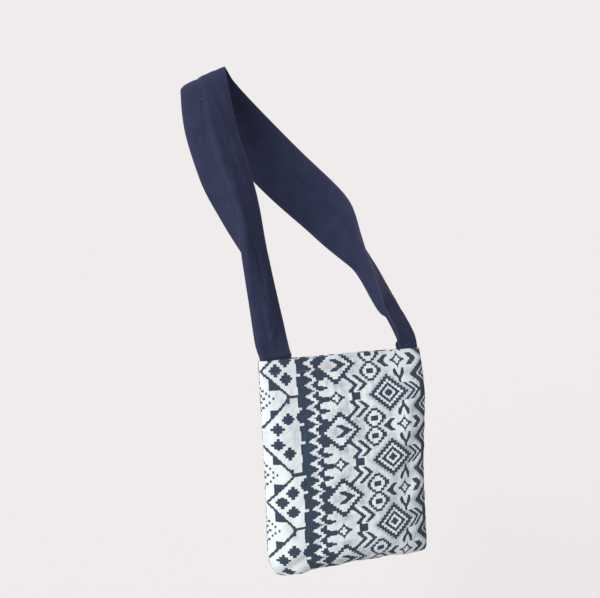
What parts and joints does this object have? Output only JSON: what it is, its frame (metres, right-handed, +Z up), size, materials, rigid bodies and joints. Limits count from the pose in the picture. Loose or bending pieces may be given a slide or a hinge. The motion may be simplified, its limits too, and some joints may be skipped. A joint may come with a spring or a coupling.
{
  "type": "cotton messenger bag",
  "caption": "Soft flat cotton sling bag with an open printed pouch and one wide shoulder strap, held in the shape it has when worn across the body.",
  "frame": {"origin": "underside of the strap where it rests on the wearer's shoulder", "axes": "+X along the pouch's width, from its left side seam to its right one as seen from the front; +Y from the front panel to the back panel; +Z up"},
  "size_m": [0.3747, 0.3083, 0.8749],
  "materials": {
    "printed_cotton": "matt white cotton with a navy stepped geometric print",
    "navy_cotton": "matt plain navy cotton"
  },
  "bodies": {
    "root": {"front_panel": "printed_cotton", "back_panel": "printed_cotton", "strap": "navy_cotton"}
  },
  "joints": []
}
